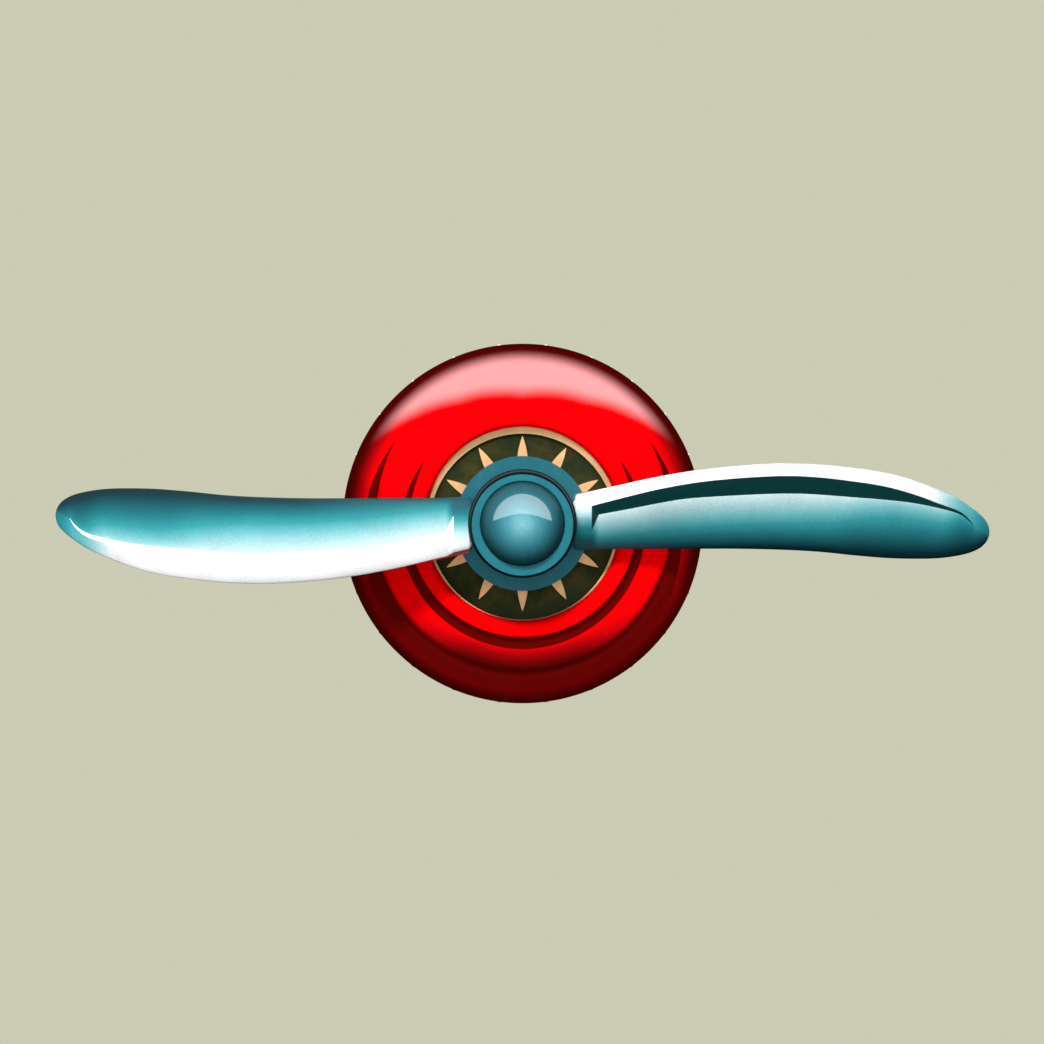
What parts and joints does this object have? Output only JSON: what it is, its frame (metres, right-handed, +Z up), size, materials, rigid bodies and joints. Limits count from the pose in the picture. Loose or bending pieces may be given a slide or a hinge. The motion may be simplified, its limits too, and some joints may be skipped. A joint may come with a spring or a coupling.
{
  "type": "controllable-pitch aircraft propeller with nose cowl",
  "caption": "Lacquered wooden propeller with a domed pitch-change hub, turning in front of a stepped round nose cowl.",
  "frame": {"origin": "centre of the nose case's rear face, on the shaft axis, where it bolts to the engine", "axes": "+Z up, +X to the right as seen from the front, along the blades at rest; the propeller faces -Y and the engine is on the +Y side"},
  "size_m": [2.0994, 0.53, 0.815],
  "materials": {
    "blade_wood": "laminated wood, lacquered in an airbrushed white-to-teal fade",
    "blade_sheath": "lacquered brass-backed leading-edge sheath, glossy",
    "teal_dome": "glossy enamel",
    "teal_ring": "glossy enamel",
    "teal_hub": "satin enamel",
    "black_steel": "black enamel",
    "red_paint": "high-gloss enamel",
    "olive_paint": "satin paint",
    "bronze": "pale lacquered bronze",
    "steel": "machined",
    "aluminium": "cast and machined",
    "rubber": "moulded"
  },
  "bodies": {
    "nose": {"nose_case": "aluminium", "bearing_cap": "aluminium", "cap_bolts": "steel", "oil_seal": "rubber", "thrust_outer_race": "steel", "rear_outer_race": "steel", "baffle_plate": "olive_paint", "baffle_rays": "bronze", "ray_rivets": "bronze", "trim_ring": "bronze", "cowl_nose_ring": "red_paint", "cowl_skirt_top": "red_paint", "cowl_skirt_bottom": "red_paint", "cowl_formers": "aluminium", "cowl_screws": "steel", "support_spider": "aluminium", "spider_bolts": "steel"},
    "hub": {"propeller_shaft": "steel", "shaft_lock_nut": "steel", "thrust_inner_race": "steel", "rear_inner_race": "steel", "hub_backplate": "teal_hub", "hub_rear_half": "teal_hub", "hub_front_half": "teal_hub", "hub_clamp_bolts": "steel", "hub_clamp_nuts": "steel", "hub_studs": "steel", "hub_stud_nuts": "steel", "blade_outer_races": "steel", "blade_bushes": "bronze", "front_plate": "black_steel", "front_plate_screws": "steel", "rod_bush": "bronze", "dome": "teal_dome", "dome_ring": "teal_ring", "dome_ring_screws": "steel", "return_spring": "steel"},
    "thrust_ball_set": {"thrust_balls": "steel", "thrust_cage": "bronze"},
    "roller_set": {"rear_rollers": "steel", "rear_cage": "bronze"},
    "blade_a": {"blade_a_core": "blade_wood", "blade_a_sheath": "blade_sheath", "blade_a_cuff": "blade_sheath", "blade_a_ferrule": "steel", "blade_a_race": "steel", "blade_a_crank_pin": "steel"},
    "blade_b": {"blade_b_core": "blade_wood", "blade_b_sheath": "blade_sheath", "blade_b_cuff": "blade_sheath", "blade_b_ferrule": "steel", "blade_b_race": "steel", "blade_b_crank_pin": "steel"},
    "blade_a_ball_set": {"blade_a_balls": "steel"},
    "blade_b_ball_set": {"blade_b_balls": "steel"},
    "pitch_unit": {"pitch_rod": "steel", "pitch_fork": "steel", "piston": "aluminium", "piston_seal": "rubber", "rod_nut": "steel"}
  },
  "joints": [
    {"name": "propeller_spin", "type": "hinge", "parent": "nose", "child": "hub", "pos_m": [0, -0.213, 0], "axis": [0, -1, 0], "continuous": true},
    {"name": "thrust_set_spin", "type": "hinge", "parent": "nose", "child": "thrust_ball_set", "pos_m": [0, -0.213, 0], "axis": [0, -1, 0], "continuous": true},
    {"name": "roller_set_spin", "type": "hinge", "parent": "nose", "child": "roller_set", "pos_m": [0, -0.057, 0], "axis": [0, -1, 0], "continuous": true},
    {"name": "blade_a_pitch", "type": "hinge", "parent": "hub", "child": "blade_a", "pos_m": [0, -0.37, 0], "axis": [1, 0, 0], "range_deg": [-5, 15]},
    {"name": "blade_b_pitch", "type": "hinge", "parent": "hub", "child": "blade_b", "pos_m": [0, -0.37, 0], "axis": [-1, 0, 0], "range_deg": [-5.2, 15.2]},
    {"name": "blade_a_ball_roll", "type": "hinge", "parent": "hub", "child": "blade_a_ball_set", "pos_m": [0, -0.37, 0], "axis": [1, 0, 0], "range_deg": [-2.6, 7.6]},
    {"name": "blade_b_ball_roll", "type": "hinge", "parent": "hub", "child": "blade_b_ball_set", "pos_m": [0, -0.37, 0], "axis": [-1, 0, 0], "range_deg": [-2.6, 7.6]},
    {"name": "pitch_slide", "type": "slide", "parent": "hub", "child": "pitch_unit", "axis": [0, -1, 0], "range_m": [-0.0025, 0.0075], "deforming": ["return_spring"]}
  ],
  "couplings": [
    {"joint": "thrust_set_spin", "follows": "propeller_spin", "ratio": 0.4136},
    {"joint": "roller_set_spin", "follows": "propeller_spin", "ratio": 0.4464},
    {"joint": "blade_b_pitch", "follows": "blade_a_pitch", "ratio": 1},
    {"joint": "blade_a_ball_roll", "follows": "blade_a_pitch", "ratio": 0.5},
    {"joint": "blade_b_ball_roll", "follows": "blade_a_pitch", "ratio": 0.5},
    {"joint": "pitch_slide", "follows": "blade_a_pitch", "m_per_rad": 0.028}
  ]
}
